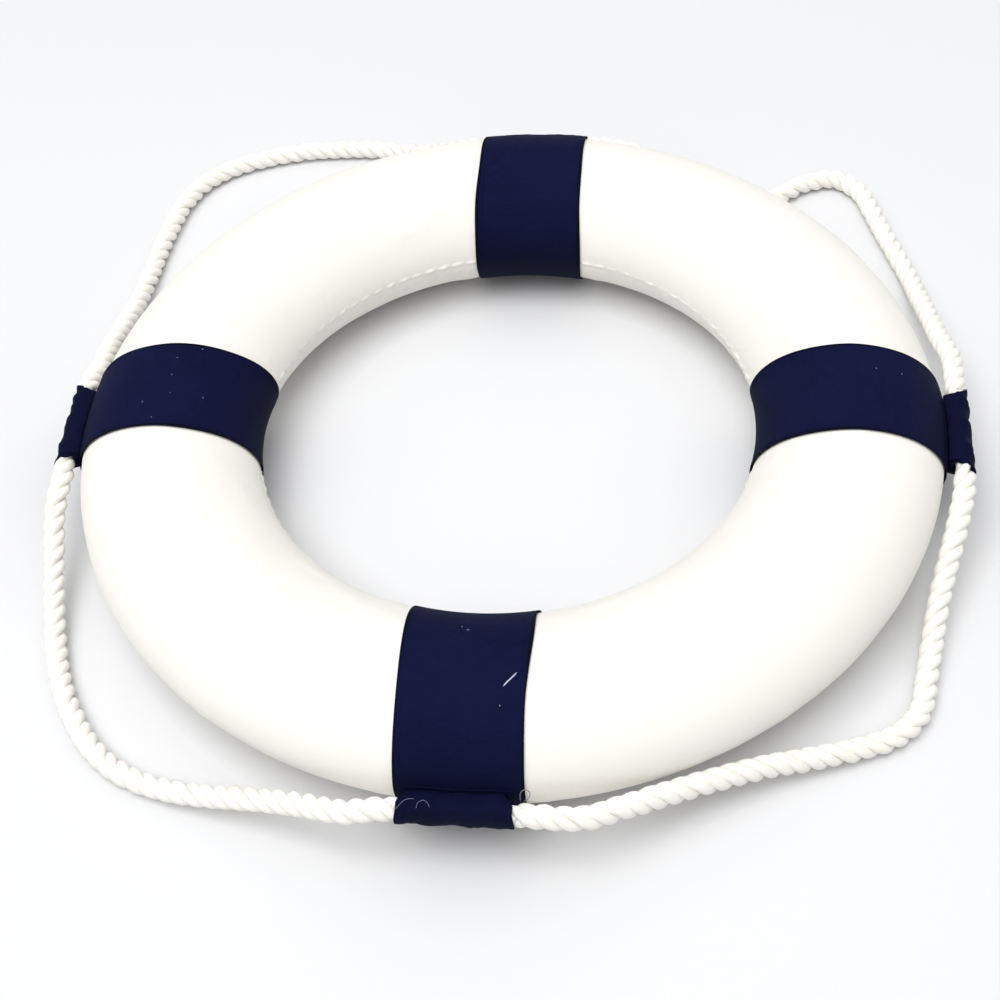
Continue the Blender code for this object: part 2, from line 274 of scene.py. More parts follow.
class Nodes:
    """Builds one material's node tree."""

    def __init__(self, name, roughness, sheen=0.0, sheen_roughness=0.5, gloss=0.25):
        self.material = bpy.data.materials.new(name)
        self.material.use_nodes = True
        self.tree = self.material.node_tree
        self.shader = self.tree.nodes["Principled BSDF"]
        for key, value in (
            ("Roughness", roughness), ("Sheen Weight", sheen),
            ("Sheen Roughness", sheen_roughness), ("Specular IOR Level", gloss),
        ):
            self.shader.inputs[key].default_value = value

    def add(self, kind, settings=(), **inputs):
        """A node with its settings and inputs. An input is a value or another node's socket."""
        made = self.tree.nodes.new(kind)
        for key, value in dict(settings).items():
            setattr(made, key, value)
        for key, value in inputs.items():
            self.connect(value, made.inputs[key.replace("_", " ")])
        return made

    def connect(self, value, socket):
        """Sets a socket, or links it."""
        if isinstance(value, bpy.types.NodeSocket):
            self.tree.links.new(value, socket)
        else:
            socket.default_value = value

    def math(self, operation, *values):
        """The result of a Math node."""
        made = self.tree.nodes.new("ShaderNodeMath")
        made.operation = operation
        for value, socket in zip(values, made.inputs):
            self.connect(value, socket)
        return made.outputs[0]

    def mix(self, share, a, b):
        """A colour between a and b."""
        made = self.tree.nodes.new("ShaderNodeMix")
        made.data_type = "RGBA"
        self.connect(share, made.inputs["Factor"])
        self.connect(a if isinstance(a, bpy.types.NodeSocket) else (*a, 1), made.inputs["A"])
        self.connect(b if isinstance(b, bpy.types.NodeSocket) else (*b, 1), made.inputs["B"])
        return made.outputs["Result"]

    def uv(self):
        """The cloth's own two coordinates, in metres."""
        made = self.tree.nodes.new("ShaderNodeUVMap")
        made.uv_map = "cloth"
        split = self.add("ShaderNodeSeparateXYZ", Vector=made.outputs[0])
        return made.outputs[0], split.outputs[0], split.outputs[1]

    def height(self):
        """Height above the floor."""
        place = self.tree.nodes.new("ShaderNodeTexCoord").outputs["Object"]
        return self.add("ShaderNodeSeparateXYZ", Vector=place).outputs[2]

    def noise(self, scale, detail=3.0, vector=None, stretch=None):
        """Noise in the object's own space, or over a given vector."""
        if vector is None:
            vector = self.tree.nodes.new("ShaderNodeTexCoord").outputs["Object"]
        if stretch:
            vector = self.add("ShaderNodeMapping", Vector=vector, Scale=stretch).outputs[0]
        made = self.add("ShaderNodeTexNoise", Vector=vector, Scale=scale, Detail=detail)
        return made.outputs["Fac"]

    def spread(self, value, low, high, to_low=0.0, to_high=1.0):
        """value mapped from low..high to to_low..to_high, held at both ends."""
        names = {"From_Min": low, "From_Max": high, "To_Min": to_low, "To_Max": to_high}
        return self.add("ShaderNodeMapRange", Value=value, **names).outputs["Result"]

    def weave(self, u, v, pitch):
        """Height from 0 to 1 of a plain weave with that thread pitch."""
        x, y = (self.math("MULTIPLY", c, 1 / pitch) for c in (u, v))
        cell = self.math("ADD", self.math("FLOOR", x), self.math("FLOOR", y))
        parity = self.math("ABSOLUTE", self.math("MODULO", cell, 2.0))
        across, along = (
            self.math("ABSOLUTE", self.math("SINE", self.math("MULTIPLY", c, math.pi)))
            for c in (x, y)
        )
        warp = self.math("MULTIPLY", across, self.math("MULTIPLY_ADD", along, 0.45, 0.55))
        weft = self.math("MULTIPLY", along, self.math("MULTIPLY_ADD", across, 0.45, 0.55))
        difference = self.math("SUBTRACT", weft, warp)
        return self.math("ADD", warp, self.math("MULTIPLY", difference, parity))

    def bump(self, height, distance, strength=1.0, normal=None):
        """A bumped normal."""
        made = self.add("ShaderNodeBump", Height=height, Distance=distance, Strength=strength)
        if normal is not None:
            self.connect(normal, made.inputs["Normal"])
        return made.outputs[0]

    def finish(self, colour, normal=None, roughness=None):
        """Connects the shader and returns the material."""
        for key, value in (("Base Color", colour), ("Normal", normal), ("Roughness", roughness)):
            if value is not None:
                self.connect(value, self.shader.inputs[key])
        return self.material


def white_cloth():
    """The cover's tightly woven off-white cloth, a little uneven in colour, with painted shade low
    down.
    """
    n = Nodes("white_cloth", 0.8, sheen=0.25, sheen_roughness=0.45)
    _, u, v = n.uv()
    weave = n.weave(u, v, pitch=0.00052)
    slub = n.noise(900, 2.0, stretch=(1.0, 1.0, 0.25))
    patches = n.noise(14, 3.0)
    # Painted shade: the cloth colour is mixed darker and warmer towards the bottom
    low = n.spread(n.height(), 0.0, 0.045, 1.0, 0.0)
    colour = n.mix(n.spread(patches, 0.35, 0.7), (0.935, 0.912, 0.845), (0.925, 0.897, 0.825))
    colour = n.mix(n.math("MULTIPLY", low, 0.4), colour, (0.88, 0.835, 0.76))
    colour = n.mix(n.math("MULTIPLY", weave, 0.16), colour, (0.95, 0.935, 0.88))
    normal = n.bump(slub, 0.0002, 0.35)
    normal = n.bump(weave, 0.00012, 0.6, normal)
    roughness = n.spread(patches, 0.3, 0.7, 0.74, 0.88)
    return n.finish(colour, normal, roughness)


def navy_cloth():
    """The navy cloth of the bands and sleeves, with a visible weave whose raised threads are
    paler.
    """
    n = Nodes("navy_cloth", 0.75, gloss=NAVY_GLOSS)
    _, u, v = n.uv()
    weave = n.weave(u, v, pitch=0.00060)
    ribs = n.noise(160, 2.0, stretch=(1.0, 1.0, 7.0))
    patches = n.noise(22, 4.0)
    patches = n.spread(patches, 0.3, 0.72)
    colour = n.mix(patches, (0.0026, 0.0042, 0.0300), (0.0036, 0.0060, 0.0375))
    colour = n.mix(n.spread(ribs, 0.45, 0.75, 0.0, 0.5), colour, (0.0052, 0.0078, 0.0430))
    colour = n.mix(n.spread(weave, 0.55, 1.0, 0.0, 0.35), colour, (0.0070, 0.0105, 0.0500))
    # Painted shade: the cloth is darkened low on the sides and at the bands' turned edges
    low = n.spread(n.height(), 0.045, 0.076, 0.42, 0.0)
    colour = n.mix(low, colour, PAINTED_SHADE_NAVY)
    edge = BAND_WIDTH / 2
    turned = n.spread(n.math("ABSOLUTE", u), edge - 0.0017, edge - 0.0006, 0.0, 0.8)
    colour = n.mix(turned, colour, PAINTED_SHADE_NAVY)
    normal = n.bump(ribs, 0.0003, 0.3)
    normal = n.bump(weave, 0.00016, 0.8, normal)
    roughness = n.spread(weave, 0.0, 1.0, 0.85, 0.66)
    return n.finish(colour, normal, roughness)


def cotton():
    """Twisted cotton: fine fibres along the yarns, a little uneven in colour."""
    n = Nodes("cotton_rope", 0.9, sheen=0.35, sheen_roughness=0.5)
    vector, _, _ = n.uv()
    fibres = n.noise(1.0, 3.0, vector=vector, stretch=(420.0, 2600.0, 1.0))
    tufts = n.noise(260, 4.0)
    shade = n.noise(18, 2.0)
    colour = n.mix(n.spread(shade, 0.3, 0.7), (0.94, 0.92, 0.86), (0.925, 0.895, 0.825))
    colour = n.mix(n.spread(tufts, 0.35, 0.7, 0.0, 0.5), colour, (0.95, 0.935, 0.89))
    normal = n.bump(tufts, 0.0005, 0.35)
    normal = n.bump(fibres, 0.0003, 0.6, normal)
    return n.finish(colour, normal, n.spread(fibres, 0.2, 0.8, 0.82, 0.96))


def thread_material(name, colour, pale, roughness=0.6, sheen=0.2, gloss=0.25):
    """Sewing thread, tape or lint, with a fine twist."""
    n = Nodes(name, roughness, sheen, gloss=gloss)
    twist = n.noise(1800, 2.0)
    return n.finish(n.mix(twist, colour, pale), n.bump(twist, 0.0002, 0.4))


def foam_material():
    """Closed-cell foam board with fine cells."""
    n = Nodes("foam", 0.9)
    place = n.tree.nodes.new("ShaderNodeTexCoord").outputs["Object"]
    cells = n.add("ShaderNodeTexVoronoi", Vector=place, Scale=700.0).outputs["Distance"]
    colour = n.mix(cells, (0.84, 0.84, 0.82), (0.74, 0.74, 0.72))
    return n.finish(colour, n.bump(cells, 0.0004, 0.5))


def floor_material():
    """A plain pale table with a faint unevenness."""
    n = Nodes("floor", 0.7)
    cloud = n.noise(1.3, 2.0)
    grain = n.noise(240, 2.0)
    colour = n.mix(cloud, (0.728, 0.731, 0.742), (0.743, 0.745, 0.755))
    return n.finish(colour, n.bump(grain, 0.0002, 0.1))


# -------------------- rope


class Rope:
    """The whole rope's centreline at even steps, closed, and what a point on it needs to know.

    It starts in the middle of the front sleeve, where the rope's ends meet, and goes to the right.
    """

    ORDER = [
        ("front", "front_right", False), ("right", "back_right", False),
        ("back", "back_left", True), ("left", "front_left", True),
    ]

    def __init__(self):
        knots = []
        for place, (side, loop, backwards) in enumerate(self.ORDER):
            next_side = self.ORDER[(place + 1) % 4][0]
            knots += self.in_sleeve(side, (0.0, 0.020, HINGE_OFFSET))
            route = ROPE_ROUTES[loop]
            knots += [np.array(p) for p in (route[::-1] if backwards else route)]
            knots += self.in_sleeve(next_side, (-HINGE_OFFSET, -0.020))
        curve = self.smooth(knots)
        lengths = np.concatenate([[0], np.cumsum(np.linalg.norm(np.diff(curve, axis=0), axis=1))])
        steps = round(lengths[-1] / ROPE_STEP)
        even = np.linspace(0, lengths[-1], steps + 1)
        self.path = np.stack([np.interp(even, lengths, curve[:, k]) for k in range(3)], axis=1)
        self.arc = np.arange(steps + 1) * ROPE_STEP
        self.tangent = unit(np.gradient(self.path, axis=0))
        self.across = self.carried(np.cross(self.tangent[0], (0, 0, 1)))
        self.up = np.cross(self.tangent, self.across)
        self.find_sleeves()

    @staticmethod
    def in_sleeve(side, places):
        """Points on the middle line of a sleeve, at these places along it."""
        return [rotate_z(np.array([x, -SLEEVE_CENTRE, EQUATOR]), SIDES[side]) for x in places]

    @staticmethod
    def smooth(knots, samples=40):
        """Points on a closed centripetal Catmull-Rom curve through the knots."""
        curve, count = [], len(knots)
        for i in range(count):
            a, b, c, d = (knots[(i + k - 1) % count] for k in range(4))
            t1 = np.linalg.norm(b - a) ** 0.5
            t2 = t1 + np.linalg.norm(c - b) ** 0.5
            t3 = t2 + np.linalg.norm(d - c) ** 0.5
            t = (t1 + (t2 - t1) * np.arange(samples) / samples)[:, None]
            ab = a + (b - a) * t / t1
            bc = b + (c - b) * (t - t1) / (t2 - t1)
            cd = c + (d - c) * (t - t2) / (t3 - t2)
            abc = ab + (bc - ab) * t / t2
            bcd = bc + (cd - bc) * (t - t1) / (t3 - t1)
            curve.append(abc + (bcd - abc) * (t - t1) / (t2 - t1))
        return np.vstack(curve + [curve[0][:1]])

    def carried(self, start):
        """Unit vectors across the path at each point, carried along it without twist."""
        across = np.zeros_like(self.path)
        across[0] = start / np.linalg.norm(start)
        for i in range(1, len(across)):
            moved = across[i - 1] - self.tangent[i] * (across[i - 1] @ self.tangent[i])
            across[i] = moved / np.linalg.norm(moved)
        return across

    def find_sleeves(self):
        """Which points each sleeve holds, and how hard it grips every point, from 0 to 1."""
        half, count = SLEEVE_LENGTH / 2, len(self.path)
        self.grip = np.zeros(count)
        self.outward = np.zeros((count, 3))
        self.held = {}
        for side, turn in SIDES.items():
            local = rotate_z(self.path, -turn)
            near = (local[:, 1] < 0.02 - SLEEVE_CENTRE) & (np.abs(local[:, 0]) < half + 0.02)
            grip = near * (1 - smooth_step(half - 0.005, half + 0.002, np.abs(local[:, 0])))
            self.grip = np.maximum(self.grip, grip)
            self.outward[near] = rotate_z(np.array([0.0, -1.0, 0.0]), turn)
            inside = near & (np.abs(local[:, 0]) < half - 0.003)
            self.held[side] = np.flatnonzero(inside)

    def spans(self):
        """First and last point of each free loop and of each stretch that stays in its sleeve."""
        middle = len(self.path) // 2
        front_out = self.held["front"][self.held["front"] < middle].max()
        front_in = self.held["front"][self.held["front"] > middle].min()
        right, back, left = (self.held[side] for side in ("right", "back", "left"))
        free = {
            "front_right": (front_out, right.min()),
            "back_right": (right.max(), back.min()),
            "back_left": (back.max(), left.min()),
            "front_left": (left.max(), front_in),
        }
        still = {
            "rope_end_right": (0, front_out),
            "rope_in_right_sleeve": (right.min(), right.max()),
            "rope_in_back_sleeve": (back.min(), back.max()),
            "rope_in_left_sleeve": (left.min(), left.max()),
            "rope_end_left": (front_in, len(self.path) - 1),
        }
        return free, still

    def strands(self, first, last, sides):
        """Points, faces and cloth coordinates of the three strands from path point first to last.

        Each strand is a helix round the path. Its yarns are shallow ridges wound the other way.
        The sleeves press the rope flat and it swells again outside their mouths.
        """
        points, faces, uv = [], [], []
        rows = slice(first, last + 1)
        ring = np.arange(sides) / sides * 2 * math.pi
        c, s = np.cos(ring)[None, :, None], np.sin(ring)[None, :, None]
        for strand in range(STRANDS):
            phase = 2 * math.pi * (self.arc / ROPE_LAY + strand / STRANDS)
            phase = phase + 0.16 * wobble(40 + strand, 6, self.arc * 70)
            radial = self.across * np.cos(phase)[:, None] + self.up * np.sin(phase)[:, None]
            middle = self.path + radial * STRAND_OFFSET
            way = unit(np.gradient(middle, axis=0))
            beside = unit(np.cross(way, radial))
            away = np.cross(beside, way)
            twist = ring[None, :] - (2 * math.pi * self.arc / YARN_LAY)[:, None]
            plump = STRAND_RADIUS * (1 + 0.04 * wobble(50 + strand, 7, self.arc * 230))
            ridge = np.abs(np.cos(twist * YARNS / 2)) ** 0.7 - 0.6
            lumps = 0.00009 * wobble(80 + strand, 9, self.arc[:, None] * 1500, twist * 2.5)
            radius = plump[:, None] + YARN_RELIEF * ridge + lumps
            tube = middle[:, None] + radius[..., None] * (away[:, None] * c + beside[:, None] * s)
            offset = tube - self.path[:, None]
            depth = np.einsum("ijk,ik->ij", offset, self.outward)
            tube -= self.outward[:, None] * (depth * ROPE_SQUASH * self.grip[:, None])[..., None]
            start = sum(len(p) for p in points)
            count = last + 1 - first
            points.append(tube[rows].reshape(-1, 3))
            faces += tube_faces(count, sides, start)
            along = np.broadcast_to(self.arc[rows, None], (count, sides))
            uv.append(np.stack([along, twist[rows] * STRAND_RADIUS], axis=-1).reshape(-1, 2))
        return np.vstack(points), faces, np.vstack(uv)

    def loose_fibres(self, first, last, seed):
        """Short fibres that stand off the rope between two path points, as thin curved spikes."""
        random = np.random.default_rng(seed)
        lines = []
        for _ in range((last - first) * FIBRES_PER_STEP):
            i = random.integers(first + 10, last - 10)
            turn = random.uniform(0, 2 * math.pi)
            out = self.across[i] * math.cos(turn) + self.up[i] * math.sin(turn)
            round_about = np.cross(self.tangent[i], out)
            lean = self.tangent[i] * random.normal(0, 0.9) + round_about * random.normal(0, 0.8)
            curl = random.normal(0, 0.45, 3)
            length = random.uniform(*FIBRE_LENGTH)
            t = np.linspace(0, 1, 5)[:, None]
            start = self.path[i] + out * random.uniform(*FIBRE_ROOT)
            line = start + ((out * 0.6 + lean * 0.8) * t + curl * t * t) * length
            reach = np.linalg.norm(line[-1] - self.path[i - 8:i + 9], axis=1).min()
            if reach < FIBRE_REACH and line[:, 2].min() > 0:
                lines.append(line)
        return tube_along(lines, FIBRE_RADIUS, sides=3, taper=0.2)


def tube_faces(rows, sides, first):
    """Faces of one tube of rows of points, with a cap at each end."""
    faces = grid_faces(rows, sides, closed_columns=True, first=first).tolist()
    last = first + (rows - 1) * sides
    return faces + [[first + k for k in range(sides)][::-1], [last + k for k in range(sides)]]


def tube_along(lines, radius, sides=8, taper=0.35):
    """Points and faces of round tubes along several lines of points, narrowing to closed ends."""
    points, faces = [], []
    ring = np.arange(sides) / sides * 2 * math.pi
    c, s = np.cos(ring)[None, :, None], np.sin(ring)[None, :, None]
    start = 0
    for line in lines:
        line = np.asarray(line, float)
        tangent = unit(np.gradient(line, axis=0))
        side_a = unit(np.cross(tangent, (0.13, 0.21, 0.97)))
        side_b = np.cross(tangent, side_a)
        t = np.linspace(-1, 1, len(line))
        thick = radius * (taper + (1 - taper) * np.sqrt(np.clip(1 - t ** 6, 0, 1)))
        tube = line[:, None] + thick[:, None, None] * (side_a[:, None] * c + side_b[:, None] * s)
        points.append(tube.reshape(-1, 3))
        faces += tube_faces(len(line), sides, start)
        start += len(line) * sides
    return np.vstack(points), faces


def make_rope(material):
    """The rope's free loops, which swing, and the stretches that its sleeves hold."""
    rope = Rope()
    free, still = rope.spans()
    for seed, (loop, (first, last)) in enumerate(free.items()):
        points, faces, uv = rope.strands(first, last, LOOP_SIDES)
        fluff, fluff_faces = rope.loose_fibres(first, last, 70 + seed)
        faces += [[len(points) + k for k in face] for face in fluff_faces]
        uv = np.vstack([uv, np.zeros((len(fluff), 2))])
        piece = mesh_object(f"grab_rope_{loop}", np.vstack([points, fluff]), faces, material, uv)
        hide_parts(f"rope_{loop}")
        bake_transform(piece)
    for node, (first, last) in still.items():
        points, faces, uv = rope.strands(first, last, HELD_SIDES)
        piece = mesh_object(f"twisted_{node}", points, faces, material, uv)
        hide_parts(node)
        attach(piece, "ring")


# -------------------- cover


def plain_section(count=2881):
    """The cover's section at even arc lengths, from the inner equator over the top and round.

    Gives each point's share of the girth, radius, height and outward normal, and the girth.
    """
    angle = math.pi - 2 * math.pi * np.linspace(0, 1, count)
    across = np.abs(np.cos(angle)) ** (2 / SECTION_POWER) * np.sign(np.cos(angle))
    along = np.abs(np.sin(angle)) ** (2 / SECTION_POWER)
    radius = RING_MIDDLE + HALF_WIDTH * across
    low = np.maximum(EQUATOR - LOWER_HALF * along, COVER_BOTTOM)
    height = np.where(angle >= 0, EQUATOR + UPPER_HALF * along, low)
    arc = np.concatenate([[0], np.cumsum(np.hypot(np.diff(radius), np.diff(height)))])
    even = np.linspace(0, arc[-1], count)
    kernel = np.hanning(61) / np.hanning(61).sum()
    soft = []
    for values in (radius, height):
        values = np.interp(even, arc, values)
        wrapped = np.concatenate([values[-31:-1], values, values[1:31]])
        soft.append(np.convolve(wrapped, kernel, "same")[30:-30])
    slope_r, slope_z = (np.gradient(values) for values in soft)
    size = np.hypot(slope_r, slope_z)
    return even / arc[-1], (*soft, -slope_z / size, slope_r / size), arc[-1]


SHARES, SECTION, GIRTH = plain_section()


def at_share(share):
    """Radius, height and outward normal of the section at a share of its girth."""
    return tuple(np.interp(np.asarray(share) % 1.0, SHARES, values) for values in SECTION)


def outer_share(height):
    """The share of the girth at which the ring's outer side is that high."""
    outside = (SHARES > 0.3) & (SHARES < 0.7)
    return np.interp(-height, -SECTION[1][outside], SHARES[outside])


def ring_point(turn, share, lift):
    """The point that far above the section, at an angle round the ring from the front."""
    radius, height, normal_r, normal_z = at_share(share)
    r, z = radius + normal_r * lift, height + normal_z * lift
    return np.stack([r * np.sin(turn), -r * np.cos(turn), z], axis=-1)


def band_drift(side, share):
    """How far a band strays along the ring from its place, at most on top of the ring."""
    return BAND_DRIFT[side] * np.exp(-((share - TOP_SHARE) / 0.13) ** 2)


def from_band(turn, share):
    """Distance across the nearest band from its middle line."""
    radius = at_share(share)[0]
    nearest = 1.0
    for side, degrees in SIDES.items():
        away = np.angle(np.exp(1j * (turn - math.radians(degrees))))
        across = np.where(np.abs(away) < 1.2, np.sin(away), 1.0) * radius
        nearest = np.minimum(nearest, np.abs(across - band_drift(side, share)))
    return nearest


def settled_cloth():
    """How far the cover swells off the plain section, from a short cloth simulation.

    The cloth starts slack. It is held under the four bands and along its closing seam, and foam
    presses it outward everywhere else. The answer is a grid: angle round the ring by girth share.
    """
    columns, rows = CLOTH_GRID
    turn, share = np.meshgrid(
        np.arange(columns) / columns * 2 * math.pi, np.arange(rows) / rows, indexing="ij"
    )
    _, _, normal_r, normal_z = at_share(share)
    start = ring_point(turn, share, -0.0012 + 0.0003 * wobble(11, 8, turn * 40, share * 20))
    cloth = mesh_object("cloth_test", start, grid_faces(columns, rows, True, True)[:, ::-1])
    group = cloth.vertex_groups.new(name="held")
    band = 1 - smooth_step(BAND_WIDTH / 2 - 0.004, BAND_WIDTH / 2 + 0.004, from_band(turn, share))
    seam = 1 - smooth_step(0.010, 0.035, np.minimum(share, 1 - share))
    for i, weight in enumerate(np.maximum(band, seam).ravel()):
        group.add([i], float(weight), "REPLACE")
    modifier = cloth.modifiers.new("cloth", "CLOTH")
    settings = modifier.settings
    settings.quality = 6
    settings.mass = 0.15
    settings.tension_stiffness = 25
    settings.compression_stiffness = 12
    settings.shear_stiffness = 5
    settings.bending_stiffness = 0.3
    settings.air_damping = 3
    settings.vertex_group_mass = "held"
    settings.use_pressure = True
    settings.uniform_pressure_force = 4
    settings.effector_weights.gravity = 0
    modifier.collision_settings.use_collision = False
    modifier.point_cache.frame_start, modifier.point_cache.frame_end = 1, CLOTH_STEPS
    for step in range(1, CLOTH_STEPS + 1):
        bpy.context.scene.frame_set(step)
    settled = cloth.evaluated_get(bpy.context.evaluated_depsgraph_get()).data
    points = np.zeros(columns * rows * 3, np.float32)
    settled.vertices.foreach_get("co", points)
    bpy.context.scene.frame_set(1)
    bpy.data.objects.remove(cloth)
    moved = points.reshape(columns, rows, 3) - ring_point(turn, share, 0.0)
    normal = np.stack([normal_r * np.sin(turn), -normal_r * np.cos(turn), normal_z], axis=-1)
    return np.clip((moved * normal).sum(axis=-1), *CLOTH_LIMITS)


SETTLED = settled_cloth()


def settled_at(turn, share):
    """The simulated swelling at any angle and share, smoothly read off its grid."""
    columns, rows = SETTLED.shape
    x = np.asarray(turn) / (2 * math.pi) % 1.0 * columns
    y = np.asarray(share) % 1.0 * rows
    i, j = np.floor(x).astype(int), np.floor(y).astype(int)
    u, v = smooth_step(0, 1, x - i), smooth_step(0, 1, y - j)
    i2, j2 = (i + 1) % columns, (j + 1) % rows
    near = SETTLED[i % columns, j % rows] * (1 - v) + SETTLED[i % columns, j2] * v
    far = SETTLED[i2, j % rows] * (1 - v) + SETTLED[i2, j2] * v
    return near * (1 - u) + far * u


def cover_shape(turn, share, sewing=True):
    """How far the cover's cloth stands off the plain section at an angle and a share of girth."""
    from_seam = np.where(share > 0.5, share - 1, share) * GIRTH
    band = from_band(turn, share)
    shape = 0.0005 * wobble(3, 7, np.cos(turn) * 2.2, np.sin(turn) * 2.2, share * 5.0)
    shape += settled_at(turn, share)
    # It is drawn in under a band's edge and swells beside it
    shape -= 0.0006 * (1 - smooth_step(-0.007, 0.0, band - BAND_WIDTH / 2))
    shape += 0.0004 * np.exp(-((band - BAND_WIDTH / 2 - 0.009) / 0.006) ** 2)
    if not sewing:
        return np.maximum(shape, -COVER_GIVE)
    # Small tension folds beside the bands, across their edges
    folds = wobble(13, 9, turn * 25, share * 150)
    shape += 0.00022 * folds * np.exp(-((band - BAND_WIDTH / 2 - 0.006) / 0.008) ** 2)
    # The closing seam: two turned edges, pulled in by every stitch and puckered between them.
    # The bands press it flat.
    pressed = 0.3 + 0.7 * smooth_step(-0.003, 0.003, band - BAND_WIDTH / 2)
    stitches = turn * RING_INNER / STITCH_PITCH * 2 * math.pi + from_seam * 500
    uneven = 1 + 0.35 * wobble(17, 6, turn * 60)
    beads = (0.5 - 0.5 * np.cos(stitches)) * uneven
    shape += SEAM_BEAD[0] * pressed * beads * np.exp(-(from_seam / SEAM_BEAD[1]) ** 2)
    for fold in (SEAM_FOLD, -SEAM_FOLD):
        shape -= SEAM_GROOVE[0] * np.exp(-((from_seam - fold) / SEAM_GROOVE[1]) ** 2)
    reach = np.exp(-np.abs(from_seam) / 0.010) * smooth_step(0.003, 0.006, np.abs(from_seam))
    puckers = 0.00030 * np.cos(stitches) + 0.00035 * wobble(9, 7, turn * 150, share * 12)
    shape += puckers * reach * pressed
    return np.maximum(shape, -COVER_GIVE)


def make_cover(material):
    """The sewn cover: a closed fine surface over the foam, finest at its closing seam."""
    columns, rows = COVER_GRID
    turn = np.arange(columns) / columns * 2 * math.pi
    even = np.linspace(-0.5, 0.5, rows, endpoint=False)
    share = even - COVER_CROWDING * np.sin(2 * math.pi * even) / (2 * math.pi)
    turn, share = np.meshgrid(turn, share % 1.0, indexing="ij")
    points = ring_point(turn, share, cover_shape(turn, share))
    points[..., 2] = np.maximum(points[..., 2], COVER_BOTTOM)
    along_girth = np.where(share > 0.5, share - 1, share) * GIRTH
    uv = np.stack([turn * RING_MIDDLE, along_girth], axis=-1)
    cover = mesh_object(
        "cloth_cover", points, grid_faces(columns, rows, True, True)[:, ::-1],
        material, uv, wraps=[(0, 2 * math.pi * RING_MIDDLE), (1, GIRTH)],
    )
    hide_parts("cover")
    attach(cover, "ring")


def make_closing_stitches(material):
    """Whip stitches over the closing seam, in the dips between its puckers."""
    random = np.random.default_rng(5)
    lines = []
    count = round(2 * math.pi * RING_INNER / STITCH_PITCH)
    for stitch in range(count):
        centre = stitch * STITCH_PITCH / RING_INNER + random.normal(0, 0.0012)
        if from_band(centre, 0.0) < BAND_WIDTH / 2 + 0.001:
            continue
        t = np.linspace(-1, 1, 13)
        reach = random.uniform(0.0026, 0.0032)
        turn = centre + t * random.uniform(0.0010, 0.0018) / RING_INNER
        share = (t * reach / GIRTH) % 1.0
        lift = cover_shape(turn, share) + 0.0002 - 0.0005 * t ** 6
        lift += 0.0002 * (1 - t ** 2)
        lines.append(ring_point(turn, share, lift))
    points, faces = tube_along(lines, STITCH_RADIUS)
    stitches = mesh_object("closing_stitches", points, faces, material)
    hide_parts("closing_thread")
    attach(stitches, "ring")


# -------------------- bands and sleeves


def strip_profile(half, columns, edge_steps, edge_width):
    """A flat strip's closed cross-section: places across it, and level 1 outside and 0 inside."""
    places = np.linspace(-1, 1, columns)
    places = np.sign(places) * np.abs(places) ** 0.75 * half
    bends = np.linspace(0, math.pi, edge_steps)[1:-1]
    outer = [(x, 1.0) for x in places]
    right = [(half + edge_width * math.sin(a), 0.5 + 0.5 * math.cos(a)) for a in bends]
    inner = [(x, 0.0) for x in places[::-4]]
    left = [(-half - edge_width * math.sin(a), 0.5 - 0.5 * math.cos(a)) for a in bends]
    return np.array(outer + right + inner + left).T


def band_angle(side, across, share):
    """The angle round the ring, from the band's own, of a place across the band."""
    radius = at_share(share)[0]
    return np.arcsin(np.clip((across + band_drift(side, share)) / radius, -1, 1))


def band_lift(side, across, share, level):
    """How high a band's cloth is above the plain section, at a place across and along it."""
    seed = 20 + int(SIDES[side])
    turn = math.radians(SIDES[side]) + band_angle(side, across, share)
    from_edge = BAND_WIDTH / 2 - np.abs(across)
    hem = 1 - smooth_step(HEM_WIDTH - 0.0012, HEM_WIDTH + 0.0004, from_edge)
    crease = np.exp(-((from_edge - HEM_WIDTH - 0.0006) / 0.0007) ** 2)
    stitched = np.exp(-((from_edge - HEM_WIDTH + 0.0012) / 0.0006) ** 2)
    rolled = np.exp(-(from_edge / 0.0008) ** 2)
    drawn = 0.5 + 0.5 * np.cos(share * GIRTH / HEM_STITCH_PITCH * 2 * math.pi)
    thickness = BAND_THICKNESS + 0.00028 * hem - 0.00014 * crease - 0.0004 * rolled
    thickness = thickness - 0.00018 * stitched * drawn
    soft = 0.00022 * wobble(seed + 2, 9, across * 130, share * 30)
    pulls = 0.00026 * wobble(seed + 3, 9, across * 45, share * 110)
    beside_hem = np.exp(-((from_edge - 0.008) / 0.006) ** 2)
    ease = smooth_step(0.0, 0.012, from_edge) * 0.4 + 0.6 * beside_hem
    cloth = thickness + soft + pulls * ease
    return BAND_LIFT + cover_shape(turn, share, sewing=False) + level * cloth


def make_band(side, material):
    """One band: a closed strip of hemmed cloth drawn snug round the cover."""
    seed = 20 + int(SIDES[side])
    across, level = strip_profile(BAND_WIDTH / 2, columns=46, edge_steps=9, edge_width=0.0005)
    share, across = np.meshgrid(np.arange(BAND_ROWS) / BAND_ROWS, across, indexing="ij")
    level = np.broadcast_to(level, share.shape)
    lift = np.maximum(band_lift(side, across, share, level), 0.0002 + 0.0004 * level)
    # The edges wander by less than a millimetre
    round_girth = 2 * math.pi * share
    for edge in (-1, 1):
        sway = wobble(seed + edge, 6, np.cos(round_girth) * 2.4, np.sin(round_girth) * 2.4)
        across = across + 0.0007 * sway * smooth_step(0.018, 0.034, across * edge)
    points = ring_point(band_angle(side, across, share), share, lift)
    points[..., 2] = np.maximum(points[..., 2], 0.0)
    points = rotate_z(points, SIDES[side])
    uv = np.stack([across, share * GIRTH], axis=-1)
    band = mesh_object(
        f"cloth_band_{side}", points, grid_faces(BAND_ROWS, points.shape[1], True, True),
        material, uv, wraps=[(1, GIRTH)],
    )
    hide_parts(f"band_{side}")
    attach(band, "ring")


